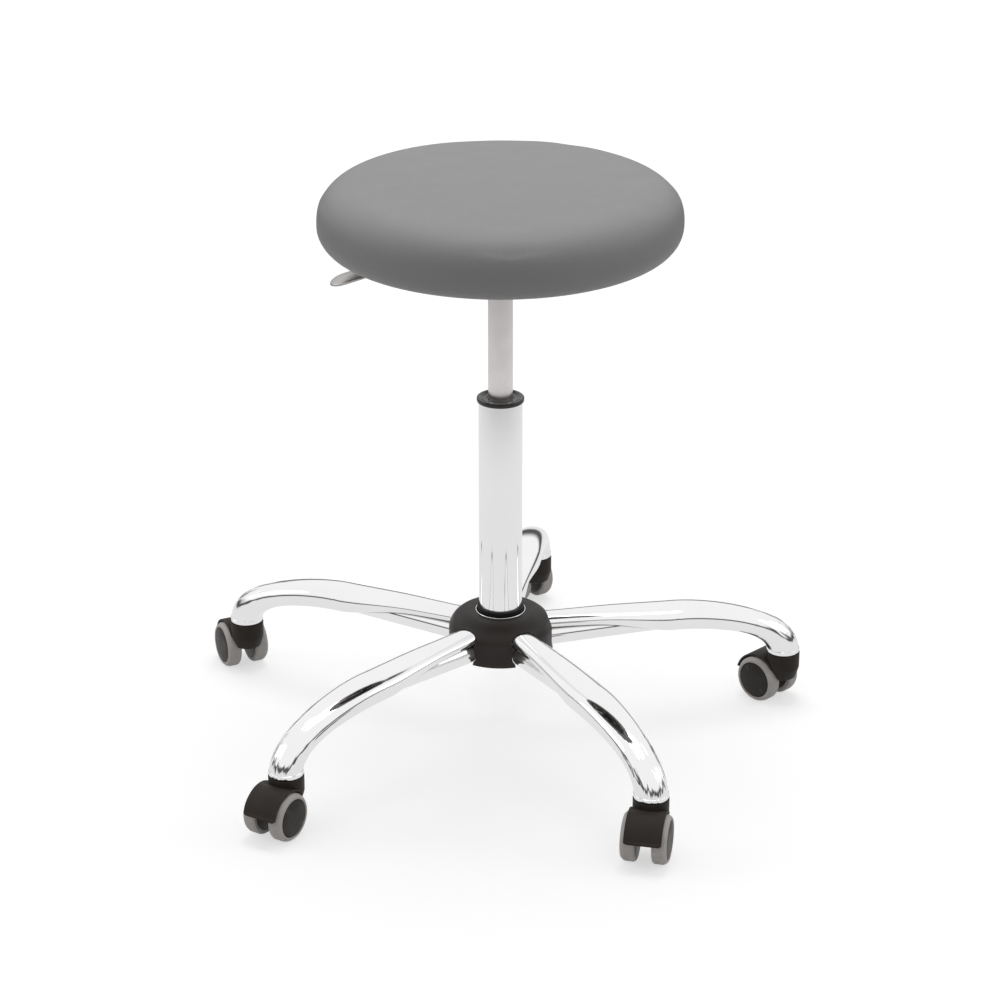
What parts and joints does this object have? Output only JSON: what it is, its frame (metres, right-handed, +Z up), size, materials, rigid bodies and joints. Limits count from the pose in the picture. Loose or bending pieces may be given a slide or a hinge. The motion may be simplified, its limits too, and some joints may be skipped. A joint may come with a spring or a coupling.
{
  "type": "doctor stool",
  "caption": "Round padded swivel stool on a gas lift with a release lever, a chrome star base and twin-wheel swivel casters.",
  "frame": {"origin": "on the floor, on the axis of the column", "axes": "+Z up along the column, +Y towards the arm that points to the back, +X to the right"},
  "size_m": [0.7177, 0.7281, 0.666],
  "materials": {
    "grey_vinyl": "smooth matte upholstery vinyl",
    "foam": "moulded seat foam",
    "plywood": "plywood stained black",
    "chrome": "bright chrome plating on steel",
    "satin_steel": "satin ground steel",
    "zinc_steel": "zinc plated steel",
    "black_steel": "black powder coat",
    "black_plastic": "fine matte grain",
    "white_plastic": "natural acetal",
    "grey_tyre": "soft grey tread",
    "bronze": "sintered bearing bronze"
  },
  "bodies": {
    "base": {"arm_back": "chrome", "arm_left_rear": "chrome", "arm_left_front": "chrome", "arm_right_front": "chrome", "arm_right_rear": "chrome", "hub_core": "black_steel", "hub_cover": "black_plastic", "column_tube": "chrome", "guide_bush": "white_plastic", "collar_ring": "black_plastic", "thrust_bearing": "bronze", "caster_stem_back": "zinc_steel", "caster_stem_left_rear": "zinc_steel", "caster_stem_left_front": "zinc_steel", "caster_stem_right_front": "zinc_steel", "caster_stem_right_rear": "zinc_steel"},
    "piston": {"piston_rod": "satin_steel", "retaining_clip": "zinc_steel"},
    "seat": {"gas_cylinder": "satin_steel", "seat_plate": "black_steel", "seat_board": "plywood", "foam_pad": "foam", "upholstery_cover": "grey_vinyl", "lever_pivot_pin": "zinc_steel", "seat_bolt_1": "zinc_steel", "seat_bolt_2": "zinc_steel", "seat_bolt_3": "zinc_steel", "seat_bolt_4": "zinc_steel"},
    "lever": {"release_lever": "chrome"},
    "valve": {"valve_pin": "zinc_steel"},
    "caster_back": {"caster_housing_back": "black_plastic", "caster_axle_back": "zinc_steel"},
    "wheel_back_left": {"caster_wheel_back_left": "black_plastic", "caster_tyre_back_left": "grey_tyre"},
    "wheel_back_right": {"caster_wheel_back_right": "black_plastic", "caster_tyre_back_right": "grey_tyre"},
    "caster_left_rear": {"caster_housing_left_rear": "black_plastic", "caster_axle_left_rear": "zinc_steel"},
    "wheel_left_rear_left": {"caster_wheel_left_rear_left": "black_plastic", "caster_tyre_left_rear_left": "grey_tyre"},
    "wheel_left_rear_right": {"caster_wheel_left_rear_right": "black_plastic", "caster_tyre_left_rear_right": "grey_tyre"},
    "caster_left_front": {"caster_housing_left_front": "black_plastic", "caster_axle_left_front": "zinc_steel"},
    "wheel_left_front_left": {"caster_wheel_left_front_left": "black_plastic", "caster_tyre_left_front_left": "grey_tyre"},
    "wheel_left_front_right": {"caster_wheel_left_front_right": "black_plastic", "caster_tyre_left_front_right": "grey_tyre"},
    "caster_right_front": {"caster_housing_right_front": "black_plastic", "caster_axle_right_front": "zinc_steel"},
    "wheel_right_front_left": {"caster_wheel_right_front_left": "black_plastic", "caster_tyre_right_front_left": "grey_tyre"},
    "wheel_right_front_right": {"caster_wheel_right_front_right": "black_plastic", "caster_tyre_right_front_right": "grey_tyre"},
    "caster_right_rear": {"caster_housing_right_rear": "black_plastic", "caster_axle_right_rear": "zinc_steel"},
    "wheel_right_rear_left": {"caster_wheel_right_rear_left": "black_plastic", "caster_tyre_right_rear_left": "grey_tyre"},
    "wheel_right_rear_right": {"caster_wheel_right_rear_right": "black_plastic", "caster_tyre_right_rear_right": "grey_tyre"}
  },
  "joints": [
    {"name": "seat_swivel", "type": "hinge", "parent": "base", "child": "piston", "pos_m": [0, 0, 0], "axis": [0, 0, 1], "continuous": true},
    {"name": "seat_lift", "type": "slide", "parent": "piston", "child": "seat", "axis": [0, 0, 1], "range_m": [-0.125, 0]},
    {"name": "lever_lift", "type": "hinge", "parent": "seat", "child": "lever", "pos_m": [-0.03381, -0.00906, 0.581], "axis": [-0.2588, 0.9659, 0], "range_deg": [0, 8], "stiffness_Nm_per_rad": 4},
    {"name": "valve_press", "type": "slide", "parent": "seat", "child": "valve", "axis": [0, 0, -1], "range_m": [0, 0.005]},
    {"name": "caster_swivel_back", "type": "hinge", "parent": "base", "child": "caster_back", "pos_m": [0, 0.342, 0.06], "axis": [0, 0, 1], "continuous": true},
    {"name": "wheel_spin_back_left", "type": "hinge", "parent": "caster_back", "child": "wheel_back_left", "pos_m": [-0.01472, 0.35835, 0.0275], "axis": [0.7431, 0.6691, 0], "continuous": true},
    {"name": "wheel_spin_back_right", "type": "hinge", "parent": "caster_back", "child": "wheel_back_right", "pos_m": [-0.01472, 0.35835, 0.0275], "axis": [0.7431, 0.6691, 0], "continuous": true},
    {"name": "caster_swivel_left_rear", "type": "hinge", "parent": "base", "child": "caster_left_rear", "pos_m": [-0.32526, 0.10568, 0.06], "axis": [0, 0, 1], "continuous": true},
    {"name": "wheel_spin_left_rear_left", "type": "hinge", "parent": "caster_left_rear", "child": "wheel_left_rear_left", "pos_m": [-0.33724, 0.12413, 0.0275], "axis": [0.8387, 0.5446, 0], "continuous": true},
    {"name": "wheel_spin_left_rear_right", "type": "hinge", "parent": "caster_left_rear", "child": "wheel_left_rear_right", "pos_m": [-0.33724, 0.12413, 0.0275], "axis": [0.8387, 0.5446, 0], "continuous": true},
    {"name": "caster_swivel_left_front", "type": "hinge", "parent": "base", "child": "caster_left_front", "pos_m": [-0.20102, -0.27668, 0.06], "axis": [0, 0, 1], "continuous": true},
    {"name": "wheel_spin_left_front_left", "type": "hinge", "parent": "caster_left_front", "child": "wheel_left_front_left", "pos_m": [-0.21022, -0.29667, 0.0275], "axis": [-0.9085, 0.4179, 0], "continuous": true},
    {"name": "wheel_spin_left_front_right", "type": "hinge", "parent": "caster_left_front", "child": "wheel_left_front_right", "pos_m": [-0.21022, -0.29667, 0.0275], "axis": [-0.9085, 0.4179, 0], "continuous": true},
    {"name": "caster_swivel_right_front", "type": "hinge", "parent": "base", "child": "caster_right_front", "pos_m": [0.20102, -0.27668, 0.06], "axis": [0, 0, 1], "continuous": true},
    {"name": "wheel_spin_right_front_left", "type": "hinge", "parent": "caster_right_front", "child": "wheel_right_front_left", "pos_m": [0.19899, -0.29859, 0.0275], "axis": [-0.9957, 0.0924, 0], "continuous": true},
    {"name": "wheel_spin_right_front_right", "type": "hinge", "parent": "caster_right_front", "child": "wheel_right_front_right", "pos_m": [0.19899, -0.29859, 0.0275], "axis": [-0.9957, 0.0924, 0], "continuous": true},
    {"name": "caster_swivel_right_rear", "type": "hinge", "parent": "base", "child": "caster_right_rear", "pos_m": [0.32526, 0.10568, 0.06], "axis": [0, 0, 1], "continuous": true},
    {"name": "wheel_spin_right_rear_left", "type": "hinge", "parent": "caster_right_rear", "child": "wheel_right_rear_left", "pos_m": [0.30781, 0.11908, 0.0275], "axis": [0.6088, 0.7934, 0], "continuous": true},
    {"name": "wheel_spin_right_rear_right", "type": "hinge", "parent": "caster_right_rear", "child": "wheel_right_rear_right", "pos_m": [0.30781, 0.11908, 0.0275], "axis": [0.6088, 0.7934, 0], "continuous": true}
  ],
  "couplings": [
    {"joint": "valve_press", "follows": "lever_lift", "m_per_rad": 0.035}
  ]
}
